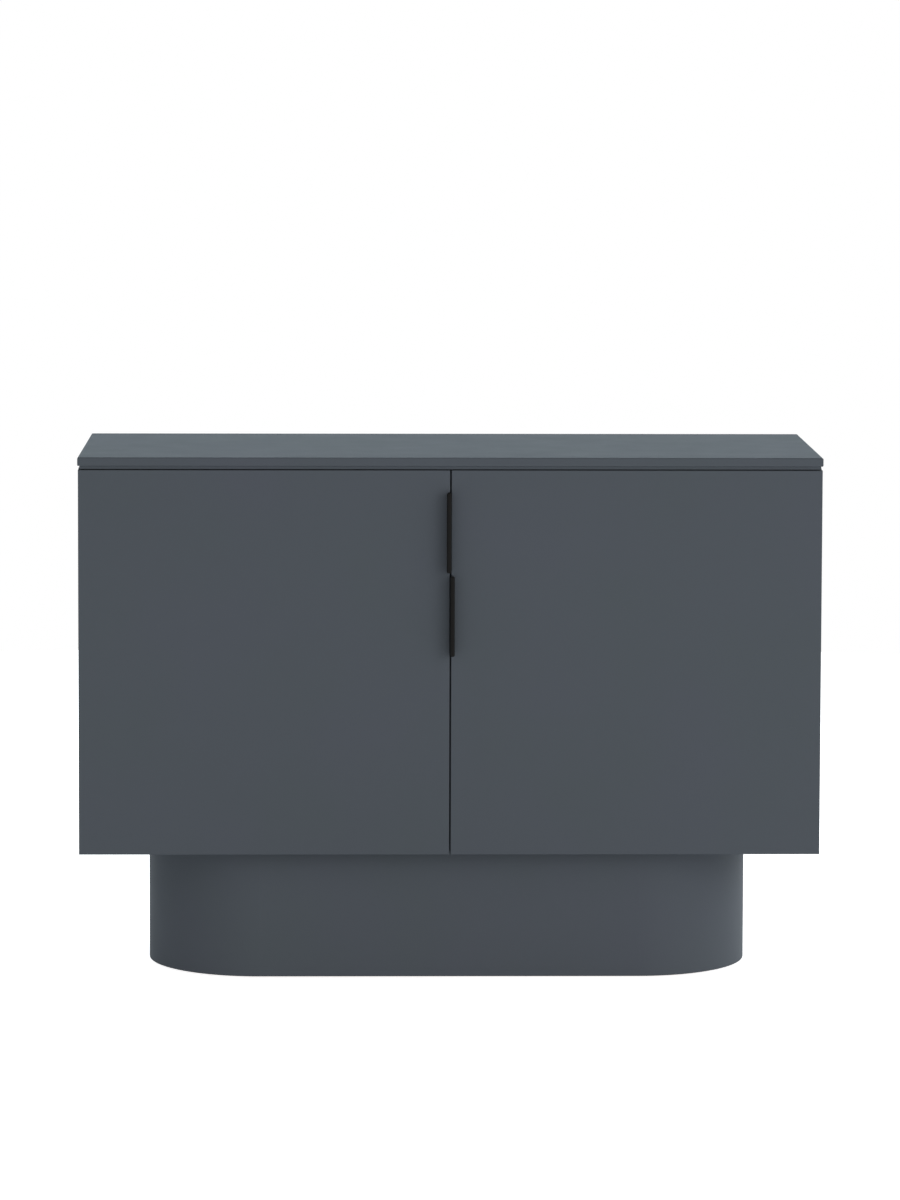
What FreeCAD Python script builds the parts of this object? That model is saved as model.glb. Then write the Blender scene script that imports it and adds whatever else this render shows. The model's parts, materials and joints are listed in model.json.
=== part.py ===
import FreeCAD, Part
import os
import Sketcher

# Two-door sideboard on a rounded plinth. Millimetres, +Z up, front towards -Y.
# The origin is on the floor, under the centre of the whole object's box.

SIZES = [
    ("overall_width", 1200),
    ("overall_height", 855),
    ("depth", 450),
    ("top_thickness", 19),
    ("top_overhang", 1),
    ("top_edge_radius", 2.5),
    ("top_lower_radius", 2),
    ("shadow_depth", 3.2),
    ("shadow_height", 5),
    ("board", 15),
    ("board_edge_radius", 0.8),
    ("back_thickness", 3),
    ("back_inset", 10),
    ("groove_width", 3.2),
    ("groove_depth", 6),
    ("partition_groove_depth", 5),
    ("back_play", 0.5),
    ("door_thickness", 16),
    ("door_back_gap", 2),
    ("door_top_gap", 1.5),
    ("door_drop", 2.5),
    ("door_centre_gap", 2.5),
    ("door_edge_radius", 1),
    ("shelf_front_inset", 17),
    ("shelf_depth", 395),
    ("shelf_side_gap", 1),
    ("shelf_pin_radius", 2.5),
    ("shelf_pin_length", 15),
    ("shelf_pin_inset", 7),
    ("shelf_hole_depth", 10),
    ("system_line", 37),
    ("system_pitch", 32),
    ("rear_line", 340),
    ("plinth_height", 213),
    ("plinth_length", 988),
    ("plinth_width", 370),
    ("plinth_skin", 12),
    ("plinth_top", 18),
    ("plinth_bottom", 12),
    ("plinth_play", 0.2),
    ("rib_pitch", 240),
    ("glide_height", 3),
    ("glide_radius", 14),
    ("glide_pitch_x", 200),
    ("glide_pitch_y", 280),
    ("plinth_bolt_pitch_x", 240),
    ("plinth_bolt_pitch_y", 220),
    ("bolt_radius", 3),
    ("bolt_head_radius", 6),
    ("bolt_head_height", 2),
    ("insert_radius", 5),
    ("insert_length", 15),
    ("dowel_radius", 4),
    ("dowel_long", 20),
    ("dowel_short", 10),
    ("dowel_line_front", 100),
    ("dowel_line_rear", 330),
    ("cam_radius", 7.5),
    ("cam_height", 12),
    ("cam_reach", 34),
    ("cam_line_front", 60),
    ("cam_line_rear", 370),
    ("cam_bolt_radius", 3),
    ("cam_thread_radius", 2.5),
    ("cam_thread_length", 10.5),
    ("cam_slot_radius", 3.6),
    ("screw_radius", 1.75),
    ("screw_head_radius", 3.4),
    ("screw_head_height", 1.2),
    ("screw_length", 11),
    ("long_screw_length", 45),
    ("recess_width", 0.8),
    ("recess_depth", 0.8),
    ("fit", 0.05),
    ("handle_length", 130),
    ("handle_reach", 20),
    ("handle_sheet", 1.5),
    ("handle_lip_thickness", 4.5),
    ("handle_lip_over", 1),
    ("handle_lip_back", 6.5),
    ("handle_leg", 25),
    ("handle_corner_radius", 2.5),
    ("handle_lip_radius", 2.2),
    ("handle_screw_end", 25),
    ("handle_left_base", 670),
    ("handle_right_base", 535),
    ("bumper_radius", 2.8),
    ("bumper_thickness", 1.7),
    ("bumper_end", 40),
    ("hinge_end", 100),
    ("cup_centre", 22.5),
    ("cup_radius", 17.5),
    ("cup_depth", 12),
    ("cup_wall", 1.5),
    ("cup_floor", 0.8),
    ("flange_thickness", 1),
    ("flange_start", 16),
    ("flange_end", 39),
    ("flange_half_length", 29),
    ("flange_corner_radius", 6),
    ("cup_screw_line", 32),
    ("cup_screw_pitch", 45),
    ("arm_pivot_x", 29),
    ("arm_pivot_y", 7),
    ("cup_pivot_x", 10.44),
    ("cup_pivot_y", 8.99),
    ("pin_radius", 1.5),
    ("pin_press", 0.02),
    ("pin_play", 0.06),
    ("cup_pin_half", 10.9),
    ("lever_half_width", 5.5),
    ("lever_knuckle", 2.6),
    ("lever_sheet", 1.5),
    ("lever_crown_x", 18.9),
    ("lever_crown_y", 11.75),
    ("arm_half_width", 7.25),
    ("arm_sheet", 1.5),
    ("arm_nose", 4),
    ("arm_length", 66),
    ("arm_low", 19),
    ("arm_high", 27.5),
    ("arm_nose_high", 33),
    ("arm_nose_low", 25),
    ("plate_thickness", 2),
    ("plate_width", 20),
    ("plate_half_length", 24),
    ("rail_half_width", 5.2),
    ("rail_top", 24),
    ("rail_front", 17),
    ("rail_rear", 62),
    ("plate_screw_pitch", 32),
    ("arm_screw_front", 27),
    ("arm_screw_rear", 50),
]

# Places worked out from the sheet, as expressions that the objects are bound to.
BACK_Y = "(Dims.depth + Dims.handle_reach) / 2"
FRONT_Y = "(Dims.handle_reach - Dims.depth) / 2"
DOOR_BACK_Y = f"({FRONT_Y} + Dims.door_thickness)"
CARCASS_FRONT_Y = f"({DOOR_BACK_Y} + Dims.door_back_gap)"
CARCASS_DEPTH = f"({BACK_Y} - {CARCASS_FRONT_Y})"
CARCASS_HALF = "(Dims.overall_width / 2 - Dims.top_overhang)"
INNER_HALF = f"({CARCASS_HALF} - Dims.board)"
TOP_Z = "(Dims.overall_height - Dims.top_thickness)"
SIDE_HEIGHT = f"({TOP_Z} - Dims.plinth_height)"
INNER_Z = "(Dims.plinth_height + Dims.board)"
INNER_HEIGHT = f"({TOP_Z} - {INNER_Z})"
SHELF_Z = f"({INNER_Z} + ({INNER_HEIGHT} - Dims.board) / 2)"
GROOVE_Y = f"({CARCASS_DEPTH} - Dims.back_inset - Dims.groove_width)"
BAY_WIDTH = f"({INNER_HALF} - Dims.board / 2)"
DOOR_Z = "(Dims.plinth_height - Dims.door_drop)"
DOOR_HEIGHT = f"({TOP_Z} - Dims.door_top_gap - {DOOR_Z})"
DOOR_WIDTH = f"({CARCASS_HALF} - Dims.door_centre_gap / 2)"
HINGE_Z = f"({DOOR_Z} + Dims.hinge_end)"
HINGE_PITCH = f"({DOOR_HEIGHT} - 2 * Dims.hinge_end)"
PLINTH_Y = f"({FRONT_Y} + Dims.depth / 2)"
PLINTH_BODY = "(Dims.plinth_height - Dims.glide_height)"
HEAD = "Dims.screw_head_height"

LEFT = 1
RIGHT = -1
SIDES = [("left", LEFT), ("right", RIGHT)]


# ---------------------------------------------------------------- document and sheet

def make_document():
    doc = FreeCAD.newDocument("Sideboard")
    sheet = doc.addObject("Spreadsheet::Sheet", "Dims")
    for row, (alias, size) in enumerate(SIZES, start=1):
        sheet.set(f"A{row}", alias)
        sheet.set(f"B{row}", str(size))
        sheet.setAlias(f"B{row}", alias)
    doc.recompute()
    return doc


def value(holder, expression):
    """The number that an expression gives now."""
    result = holder.evalExpression(expression)
    return getattr(result, "Value", result)


def mirrored(side, expression):
    """The x expression of a left-hand place, or its mirror image for the right."""
    return expression if side == LEFT else f"-({expression})"


def below(expression):
    return f"-({expression})"


# ---------------------------------------------------------------- bodies and sketches

def new_body(doc, label, base):
    body = doc.addObject("PartDesign::Body", label)
    body.Label = label
    for axis, expression in zip("xyz", base):
        if expression != "0":
            body.setExpression(f"Placement.Base.{axis}", expression)
    return body


def origin_feature(body, role):
    return next(item for item in body.Origin.OriginFeatures if item.Role == role)


def new_sketch(body, role, offset="0"):
    """A sketch on an origin plane of its body, moved along the plane's normal."""
    sketch = body.newObject("Sketcher::SketchObject", f"{body.Name}_sketch")
    sketch.AttachmentSupport = [(origin_feature(body, role), "")]
    sketch.MapMode = "FlatFace"
    if offset != "0":
        sketch.setExpression("AttachmentOffset.Base.z", offset)
    return sketch


def bind_point(sketch, geometry, point, x, y):
    """Holds one point of the sketch at two expressions."""
    for kind, axis, expression in (("DistanceX", -2, x), ("DistanceY", -1, y)):
        if expression == "0":
            sketch.addConstraint(Sketcher.Constraint("PointOnObject", geometry, point, axis))
            continue
        size = value(sketch, expression)
        index = sketch.addConstraint(Sketcher.Constraint(kind, -1, 1, geometry, point, size))
        sketch.setExpression(f"Constraints[{index}]", expression)


def polygon(sketch, corners):
    points = [FreeCAD.Vector(value(sketch, x), value(sketch, y), 0) for x, y in corners]
    first = sketch.GeometryCount
    count = len(points)
    for index in range(count):
        line = Part.LineSegment(points[index], points[(index + 1) % count])
        sketch.addGeometry(line, False)
    for index, (x, y) in enumerate(corners):
        joined = Sketcher.Constraint("Coincident", first + (index - 1) % count, 2, first + index, 1)
        sketch.addConstraint(joined)
        bind_point(sketch, first + index, 1, x, y)


def rectangle(sketch, low, high):
    polygon(sketch, [low, (high[0], low[1]), high, (low[0], high[1])])


def circle(sketch, x, y, radius):
    centre = FreeCAD.Vector(value(sketch, x), value(sketch, y), 0)
    size = value(sketch, radius)
    geometry = sketch.addGeometry(Part.Circle(centre, FreeCAD.Vector(0, 0, 1), size), False)
    index = sketch.addConstraint(Sketcher.Constraint("Radius", geometry, size))
    sketch.setExpression(f"Constraints[{index}]", radius)
    bind_point(sketch, geometry, 3, x, y)


def line(sketch, start, end):
    """A straight edge between two places given as expressions."""
    points = [FreeCAD.Vector(value(sketch, x), value(sketch, y), 0) for x, y in (start, end)]
    geometry = sketch.addGeometry(Part.LineSegment(*points), False)
    bind_point(sketch, geometry, 1, *start)
    bind_point(sketch, geometry, 2, *end)


def arc(sketch, start, middle, end):
    """An anticlockwise arc through three places given as expressions."""
    points = [FreeCAD.Vector(value(sketch, x), value(sketch, y), 0) for x, y in (start, middle, end)]
    geometry = sketch.addGeometry(Part.Arc(*points), False)
    bind_point(sketch, geometry, 1, *start)
    bind_point(sketch, geometry, 2, *end)
    crown = sketch.addGeometry(Part.Point(points[1]), True)
    bind_point(sketch, crown, 1, *middle)
    sketch.addConstraint(Sketcher.Constraint("PointOnObject", crown, 1, geometry))


def stadium(sketch, length, width):
    """A slot outline about the origin, with a half-round at each end."""
    reach = value(sketch, f"({length} - {width}) / 2")
    radius = value(sketch, f"{width} / 2")
    normal = FreeCAD.Vector(0, 0, 1)
    first = sketch.GeometryCount
    for side, start in ((1, -90), (-1, 90)):
        round_end = Part.Circle(FreeCAD.Vector(side * reach, 0, 0), normal, radius)
        low, high = (FreeCAD.Units.Quantity(angle, "deg").getValueAs("rad").Value
                     for angle in (start, start + 180))
        sketch.addGeometry(Part.ArcOfCircle(round_end, low, high), False)
    upper = (FreeCAD.Vector(reach, radius, 0), FreeCAD.Vector(-reach, radius, 0))
    lower = (FreeCAD.Vector(-reach, -radius, 0), FreeCAD.Vector(reach, -radius, 0))
    sketch.addGeometry(Part.LineSegment(*upper), False)
    sketch.addGeometry(Part.LineSegment(*lower), False)
    right, left, top, bottom = range(first, first + 4)
    for ends in ((right, 2, top, 1), (top, 2, left, 1), (left, 2, bottom, 1), (bottom, 2, right, 1)):
        sketch.addConstraint(Sketcher.Constraint("Tangent", *ends))
    sketch.addConstraint(Sketcher.Constraint("Horizontal", top))
    bind_point(sketch, right, 3, f"({length} - {width}) / 2", "0")
    bind_point(sketch, left, 3, below(f"({length} - {width}) / 2"), "0")
    index = sketch.addConstraint(Sketcher.Constraint("Radius", right, radius))
    sketch.setExpression(f"Constraints[{index}]", f"{width} / 2")


# ---------------------------------------------------------------- features

def pad(body, sketch, length, backwards=False, both_ways=False, taper=0):
    feature = body.newObject("PartDesign::Pad", f"{body.Name}_pad")
    feature.Profile = sketch
    feature.setExpression("Length", length)
    feature.Reversed = backwards
    feature.Midplane = both_ways
    feature.TaperAngle = taper
    sketch.Visibility = False
    body.Document.recompute()
    return feature


def pocket(body, sketch, depth, along_normal=False, both_ways=False, taper=0):
    """Cuts against the sketch's normal, or along it; a cut that removes nothing is an error."""
    before = body.Shape.Volume
    feature = body.newObject("PartDesign::Pocket", f"{body.Name}_pocket")
    feature.Profile = sketch
    feature.setExpression("Length", depth)
    feature.Reversed = along_normal
    feature.Midplane = both_ways
    feature.TaperAngle = taper
    sketch.Visibility = False
    body.Document.recompute()
    if not body.Shape.Volume < before:
        raise RuntimeError(f"a pocket of {body.Label} removes nothing")
    return feature


def fillet(body, radius, wanted):
    """Rounds the edges of the body whose box passes the test."""
    tip = body.Tip
    edges = [f"Edge{number}" for number, edge in enumerate(tip.Shape.Edges, start=1)
             if wanted(edge.BoundBox)]
    if not edges:
        raise RuntimeError(f"no edge to round on {body.Label}")
    feature = body.newObject("PartDesign::Fillet", f"{body.Name}_fillet")
    feature.Base = (tip, edges)
    feature.setExpression("Radius", radius)
    body.Document.recompute()
    return feature


def repeat_upwards(body, pitch, count=2):
    """Repeats the whole body along +Z."""
    feature = body.newObject("PartDesign::LinearPattern", f"{body.Name}_pattern")
    feature.TransformMode = "Whole shape"
    feature.Direction = (origin_feature(body, "Z_Axis"), [""])
    feature.setExpression("Length", pitch)
    feature.Occurrences = count
    body.Tip = feature
    body.Document.recompute()


def rods(body, role, offset, centres, radius, length, **way):
    """Round bars, padded from a plane of the body."""
    sketch = new_sketch(body, role, offset)
    for x, y in centres:
        circle(sketch, x, y, radius)
    return pad(body, sketch, length, **way)


def bores(body, role, offset, centres, radius, depth, **way):
    """Round holes, cut from a plane of the body."""
    sketch = new_sketch(body, role, offset)
    for x, y in centres:
        circle(sketch, x, y, radius)
    return pocket(body, sketch, depth, **way)


def cross_recesses(body, role, offset, centres, reach, **way):
    """The cross-shaped driver recess in each screw head."""
    sketch = new_sketch(body, role, offset)
    half = "Dims.recess_width / 2"
    shape = [(reach, half), (half, half), (half, reach)]
    corners = shape
    corners = corners + [(below(x), y) for x, y in reversed(shape)]
    corners = corners + [(below(x), below(y)) for x, y in shape]
    corners = corners + [(x, below(y)) for x, y in reversed(shape)]
    for x, y in centres:
        polygon(sketch, [(f"{x} + ({dx})", f"{y} + ({dy})") for dx, dy in corners])
    return pocket(body, sketch, "Dims.recess_depth", **way)


def board(doc, label, size, base, side=LEFT):
    """A plain board with its corner at its base; a right-hand one grows towards -X."""
    body = new_body(doc, label, base)
    sketch = new_sketch(body, "XY_Plane")
    rectangle(sketch, ("0", "0"), (mirrored(side, size[0]), size[1]))
    pad(body, sketch, size[2])
    return body


def near(number, target):
    return abs(number - target) < 0.01


# ---------------------------------------------------------------- carcass

def dowel_rows(x):
    return [(x, "Dims.dowel_line_front"), (x, "Dims.dowel_line_rear")]


def cam_rows(x):
    return [(x, "Dims.cam_line_front"), (x, "Dims.cam_line_rear")]


def flipped(rows):
    return [(y, x) for x, y in rows]


def make_top_board(doc):
    width = "Dims.overall_width"
    body = board(doc, "top_board", (width, "Dims.depth", "Dims.top_thickness"),
                 (below("Dims.overall_width / 2"), FRONT_Y, TOP_Z))
    step = "Dims.shadow_depth"
    shadow = new_sketch(body, "XY_Plane")
    polygon(shadow, [("0", "0"), (width, "0"), (width, "Dims.depth"),
                     (f"{width} - {step}", "Dims.depth"), (f"{width} - {step}", step),
                     (step, step), (step, "Dims.depth"), ("0", "Dims.depth")])
    pocket(body, shadow, "Dims.shadow_height", along_normal=True)

    carcass_y = f"({CARCASS_FRONT_Y} - {FRONT_Y})"
    groove = new_sketch(body, "XY_Plane")
    groove_end = "(Dims.top_overhang + Dims.board - Dims.groove_depth)"
    rectangle(groove, (groove_end, f"{carcass_y} + {GROOVE_Y}"),
              (f"{width} - {groove_end}", f"{carcass_y} + {GROOVE_Y} + Dims.groove_width"))
    pocket(body, groove, "Dims.groove_depth", along_normal=True)

    edge = "(Dims.top_overhang + Dims.board / 2)"
    stations = [edge, f"{width} - {edge}"]
    dowels = [(x, f"{carcass_y} + {y}") for line in stations + [f"{width} / 2"]
              for x, y in dowel_rows(line)]
    bolts = [(x, f"{carcass_y} + {y}") for line in stations for x, y in cam_rows(line)]
    bores(body, "XY_Plane", "0", dowels, "Dims.dowel_radius + Dims.fit",
          "Dims.dowel_short + Dims.back_play", along_normal=True)
    bores(body, "XY_Plane", "0", bolts, "Dims.cam_thread_radius + Dims.fit",
          "Dims.cam_thread_length + Dims.back_play", along_normal=True)

    top = value(body, "Dims.top_thickness")
    fillet(body, "Dims.top_edge_radius", lambda box: near(box.ZMin, top))
    lower = value(body, "Dims.shadow_height")
    right = value(body, width)
    fillet(body, "Dims.top_lower_radius",
           lambda box: near(box.ZMin, lower) and near(box.ZMax, lower)
           and (near(box.XMax, 0) or near(box.XMin, right) or near(box.YMax, 0)))
    return body


def make_side_panel(doc, name, side):
    """A side, with its outer face on x = 0 and its inner face towards the middle."""
    inner = mirrored(side, "Dims.board")
    towards_outside = {"along_normal": side == RIGHT}
    body = board(doc, f"side_panel_{name}", ("Dims.board", CARCASS_DEPTH, SIDE_HEIGHT),
                 (mirrored(side, below(CARCASS_HALF)), CARCASS_FRONT_Y, "Dims.plinth_height"), side)
    groove = new_sketch(body, "XY_Plane")
    rectangle(groove, (mirrored(side, "Dims.board - Dims.groove_depth"), GROOVE_Y),
              (inner, f"{GROOVE_Y} + Dims.groove_width"))
    pocket(body, groove, SIDE_HEIGHT, along_normal=True)

    pin_z = f"({SHELF_Z} - Dims.plinth_height - Dims.shelf_pin_radius)"
    heights = [f"{pin_z} + ({step}) * Dims.system_pitch" for step in (-2, -1, 0, 1, 2)]
    shelf_holes = [(line, z) for line in ("Dims.system_line", "Dims.rear_line") for z in heights]
    bores(body, "YZ_Plane", inner, shelf_holes, "Dims.shelf_pin_radius + Dims.fit",
          "Dims.shelf_hole_depth", **towards_outside)

    hinge_z = f"({HINGE_Z} - Dims.plinth_height)"
    plate_holes = [("Dims.system_line", f"{hinge_z} + {level} + ({step}) * Dims.plate_screw_pitch")
                   for level in ("0", HINGE_PITCH) for step in (-0.5, 0.5)]
    bores(body, "YZ_Plane", inner, plate_holes, "Dims.screw_radius + Dims.fit",
          "Dims.screw_length", **towards_outside)

    cam_z = f"{SIDE_HEIGHT} - Dims.cam_reach"
    cams = [("Dims.cam_line_front", cam_z), ("Dims.cam_line_rear", cam_z)]
    bores(body, "YZ_Plane", inner, cams, "Dims.cam_radius + Dims.fit",
          "Dims.cam_height + Dims.back_play", **towards_outside)
    middle = mirrored(side, "Dims.board / 2")
    bores(body, "XY_Plane", SIDE_HEIGHT, cam_rows(middle), "Dims.cam_bolt_radius + Dims.back_play",
          "Dims.cam_reach")
    bores(body, "XY_Plane", SIDE_HEIGHT, dowel_rows(middle), "Dims.dowel_radius + Dims.fit",
          "Dims.dowel_long + Dims.back_play")
    bores(body, "YZ_Plane", inner, flipped(cam_rows("Dims.board / 2")),
          "Dims.cam_thread_radius + Dims.fit", "Dims.cam_thread_length + Dims.back_play",
          **towards_outside)
    bores(body, "YZ_Plane", inner, flipped(dowel_rows("Dims.board / 2")),
          "Dims.dowel_radius + Dims.fit", "Dims.dowel_short + Dims.back_play", **towards_outside)

    fillet(body, "Dims.board_edge_radius",
           lambda box: near(box.XMin, 0) and near(box.XMax, 0) and near(box.YMax, 0))
    return body


def make_bottom_panel(doc):
    width = f"(2 * {INNER_HALF})"
    body = board(doc, "bottom_panel", (width, CARCASS_DEPTH, "Dims.board"),
                 (below(INNER_HALF), CARCASS_FRONT_Y, "Dims.plinth_height"))
    groove = new_sketch(body, "XY_Plane", "Dims.board")
    rectangle(groove, ("0", GROOVE_Y), (width, f"{GROOVE_Y} + Dims.groove_width"))
    pocket(body, groove, "Dims.groove_depth")

    cams = cam_rows("Dims.cam_reach") + cam_rows(f"{width} - Dims.cam_reach")
    bores(body, "XY_Plane", "0", cams, "Dims.cam_radius + Dims.fit",
          "Dims.cam_height + Dims.back_play", along_normal=True)
    middle = "Dims.board / 2"
    for end, inwards in (("0", True), (width, False)):
        bores(body, "YZ_Plane", end, flipped(cam_rows(middle)),
              "Dims.cam_bolt_radius + Dims.back_play", "Dims.cam_reach", along_normal=inwards)
        bores(body, "YZ_Plane", end, flipped(dowel_rows(middle)),
              "Dims.dowel_radius + Dims.fit", "Dims.dowel_long + Dims.back_play",
              along_normal=inwards)

    screws = dowel_rows(f"{width} / 2")
    bores(body, "XY_Plane", "0", screws, "Dims.screw_radius + Dims.fit", "Dims.board",
          along_normal=True)
    bores(body, "XY_Plane", "0", screws, "Dims.screw_head_radius + Dims.fit", HEAD,
          along_normal=True)
    bolts = [(f"{INNER_HALF} + ({x})", f"({PLINTH_Y} - {CARCASS_FRONT_Y}) + ({y})")
             for x, y in plinth_bolt_places()]
    bores(body, "XY_Plane", "0", bolts, "Dims.bolt_radius + Dims.fit", "Dims.board",
          along_normal=True)
    return body


def make_partition(doc):
    body = board(doc, "centre_partition", ("Dims.board", CARCASS_DEPTH, INNER_HEIGHT),
                 (below("Dims.board / 2"), CARCASS_FRONT_Y, INNER_Z))
    depth = "Dims.partition_groove_depth"
    for low, high in (("0", depth), (f"Dims.board - {depth}", "Dims.board")):
        groove = new_sketch(body, "XY_Plane")
        rectangle(groove, (low, GROOVE_Y), (high, f"{GROOVE_Y} + Dims.groove_width"))
        pocket(body, groove, INNER_HEIGHT, along_normal=True)

    pin_z = f"({SHELF_Z} - {INNER_Z} - Dims.shelf_pin_radius)"
    heights = [f"{pin_z} + ({step}) * Dims.system_pitch" for step in (-2, -1, 0, 1, 2)]
    shelf_holes = [(line, z) for line in ("Dims.system_line", "Dims.rear_line") for z in heights]
    bores(body, "YZ_Plane", "0", shelf_holes, "Dims.shelf_pin_radius + Dims.fit", "Dims.board",
          along_normal=True)
    bores(body, "XY_Plane", INNER_HEIGHT, dowel_rows("Dims.board / 2"),
          "Dims.dowel_radius + Dims.fit", "Dims.dowel_long + Dims.back_play")
    bores(body, "XY_Plane", "0", dowel_rows("Dims.board / 2"), "Dims.screw_radius + Dims.fit",
          "Dims.long_screw_length - Dims.board + Dims.back_play", along_normal=True)
    return body


def make_back_panel(doc, name, side):
    play = "Dims.back_play"
    outer = f"({INNER_HALF} + Dims.groove_depth - {play})"
    inner = f"(Dims.board / 2 - Dims.partition_groove_depth + {play})"
    height = f"({INNER_HEIGHT} + 2 * Dims.groove_depth - 2 * {play})"
    centred = "(Dims.groove_width - Dims.back_thickness) / 2"
    return board(doc, f"back_panel_{name}", (f"({outer} - {inner})", "Dims.back_thickness", height),
                 (mirrored(side, below(outer)), f"{CARCASS_FRONT_Y} + {GROOVE_Y} + {centred}",
                  f"{INNER_Z} - Dims.groove_depth + {play}"), side)


def make_shelf(doc, name, side):
    body = board(doc, f"shelf_{name}",
                 (f"({BAY_WIDTH} - 2 * Dims.shelf_side_gap)", "Dims.shelf_depth", "Dims.board"),
                 (mirrored(side, below(f"{INNER_HALF} - Dims.shelf_side_gap")),
                  f"{CARCASS_FRONT_Y} + Dims.shelf_front_inset", SHELF_Z), side)
    fillet(body, "Dims.board_edge_radius",
           lambda box: near(box.YMax, 0) and near(box.ZMin, box.ZMax))
    return body


def make_shelf_pins(doc):
    """Two pins in each side and two in each face of the partition, under the shelves."""
    body = new_body(doc, "shelf_pins", ("0", CARCASS_FRONT_Y, SHELF_Z))
    pin_z = below("Dims.shelf_pin_radius")
    centres = [("Dims.system_line", pin_z), ("Dims.rear_line", pin_z)]
    from_side = f"({INNER_HALF} + Dims.shelf_pin_inset)"
    from_middle = "(Dims.board / 2 - Dims.shelf_pin_inset)"
    for start, backwards in ((below(from_side), False), (below(from_middle), True),
                             (from_middle, False), (from_side, True)):
        rods(body, "YZ_Plane", start, centres, "Dims.shelf_pin_radius", "Dims.shelf_pin_length",
             backwards=backwards)
    return body


# ---------------------------------------------------------------- carcass fasteners

def side_middle(side):
    return mirrored(side, below(f"{CARCASS_HALF} - Dims.board / 2"))


def make_dowels(doc):
    body = new_body(doc, "dowels", ("0", CARCASS_FRONT_Y, "0"))
    length = "(Dims.dowel_long + Dims.dowel_short)"
    uprights = [side_middle(LEFT), side_middle(RIGHT), "0"]
    rods(body, "XY_Plane", f"{TOP_Z} - Dims.dowel_long",
         [place for x in uprights for place in dowel_rows(x)], "Dims.dowel_radius", length)
    level = "(Dims.plinth_height + Dims.board / 2)"
    for side in (LEFT, RIGHT):
        start = mirrored(side, below(f"{INNER_HALF} + Dims.dowel_short"))
        rods(body, "YZ_Plane", start, flipped(dowel_rows(level)), "Dims.dowel_radius", length,
             backwards=side == RIGHT)
    return body


def make_cam_locks(doc):
    """Round cam nuts in the sides' inner faces and in the underside of the bottom panel."""
    body = new_body(doc, "cam_locks", ("0", CARCASS_FRONT_Y, "0"))
    upper = f"({TOP_Z} - Dims.cam_reach)"
    lower_x = f"({INNER_HALF} - Dims.cam_reach)"
    lower = cam_rows(lower_x) + cam_rows(below(lower_x))
    for side in (LEFT, RIGHT):
        rods(body, "YZ_Plane", mirrored(side, below(INNER_HALF)), flipped(cam_rows(upper)),
             "Dims.cam_radius", "Dims.cam_height", backwards=side == LEFT)
    rods(body, "XY_Plane", "Dims.plinth_height", lower, "Dims.cam_radius", "Dims.cam_height")

    reach = "Dims.cam_radius + Dims.fit"
    bores(body, "XY_Plane", upper, cam_rows(side_middle(LEFT)) + cam_rows(side_middle(RIGHT)),
          "Dims.cam_slot_radius", reach, along_normal=True)
    level = "(Dims.plinth_height + Dims.board / 2)"
    for side in (LEFT, RIGHT):
        bores(body, "YZ_Plane", mirrored(side, below(lower_x)), flipped(cam_rows(level)),
              "Dims.cam_slot_radius", reach, along_normal=side == RIGHT)
        cross_recesses(body, "YZ_Plane", mirrored(side, below(INNER_HALF)),
                       flipped(cam_rows(upper)), "Dims.screw_head_radius",
                       along_normal=side == RIGHT)
    cross_recesses(body, "XY_Plane", "Dims.plinth_height", lower, "Dims.screw_head_radius",
                   along_normal=True)
    return body


def make_cam_bolts(doc):
    """Bolts screwed into the top board and the sides, with their heads in the cam nuts."""
    body = new_body(doc, "cam_bolts", ("0", CARCASS_FRONT_Y, "0"))
    upright = cam_rows(side_middle(LEFT)) + cam_rows(side_middle(RIGHT))
    length = "(Dims.cam_reach - Dims.recess_depth)"
    rods(body, "XY_Plane", TOP_Z, upright, "Dims.cam_bolt_radius", length, backwards=True)
    rods(body, "XY_Plane", TOP_Z, upright, "Dims.cam_thread_radius", "Dims.cam_thread_length")
    level = "(Dims.plinth_height + Dims.board / 2)"
    for side in (LEFT, RIGHT):
        face = mirrored(side, below(INNER_HALF))
        rods(body, "YZ_Plane", face, flipped(cam_rows(level)), "Dims.cam_bolt_radius", length,
             backwards=side == RIGHT)
        rods(body, "YZ_Plane", face, flipped(cam_rows(level)), "Dims.cam_thread_radius",
             "Dims.cam_thread_length", backwards=side == LEFT)
    return body


def make_partition_screws(doc):
    body = new_body(doc, "partition_screws", ("0", CARCASS_FRONT_Y, "Dims.plinth_height"))
    places = dowel_rows("0")
    rods(body, "XY_Plane", "0", places, "Dims.screw_radius", "Dims.long_screw_length")
    rods(body, "XY_Plane", "0", places, "Dims.screw_head_radius", HEAD)
    cross_recesses(body, "XY_Plane", "0", places, "Dims.screw_radius", along_normal=True)
    return body


# ---------------------------------------------------------------- plinth

def plinth_bolt_places():
    return [(f"({i}) * Dims.plinth_bolt_pitch_x", f"({j}) * Dims.plinth_bolt_pitch_y")
            for i in (-1.5, -0.5, 0.5, 1.5) for j in (-0.5, 0.5)]


def plinth_body(doc, label, height):
    return new_body(doc, label, ("0", PLINTH_Y, height))


def inner_stadium(sketch):
    """The outline of the plates inside the plinth's skin."""
    inset = "2 * (Dims.plinth_skin + Dims.plinth_play)"
    stadium(sketch, f"(Dims.plinth_length - {inset})", f"(Dims.plinth_width - {inset})")


def make_plinth_shell(doc):
    body = plinth_body(doc, "plinth_shell", "Dims.glide_height")
    outline = new_sketch(body, "XY_Plane")
    stadium(outline, "Dims.plinth_length", "Dims.plinth_width")
    stadium(outline, "(Dims.plinth_length - 2 * Dims.plinth_skin)",
            "(Dims.plinth_width - 2 * Dims.plinth_skin)")
    pad(body, outline, PLINTH_BODY)
    fillet(body, "Dims.board_edge_radius", lambda box: near(box.ZMax, 0))
    return body


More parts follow.
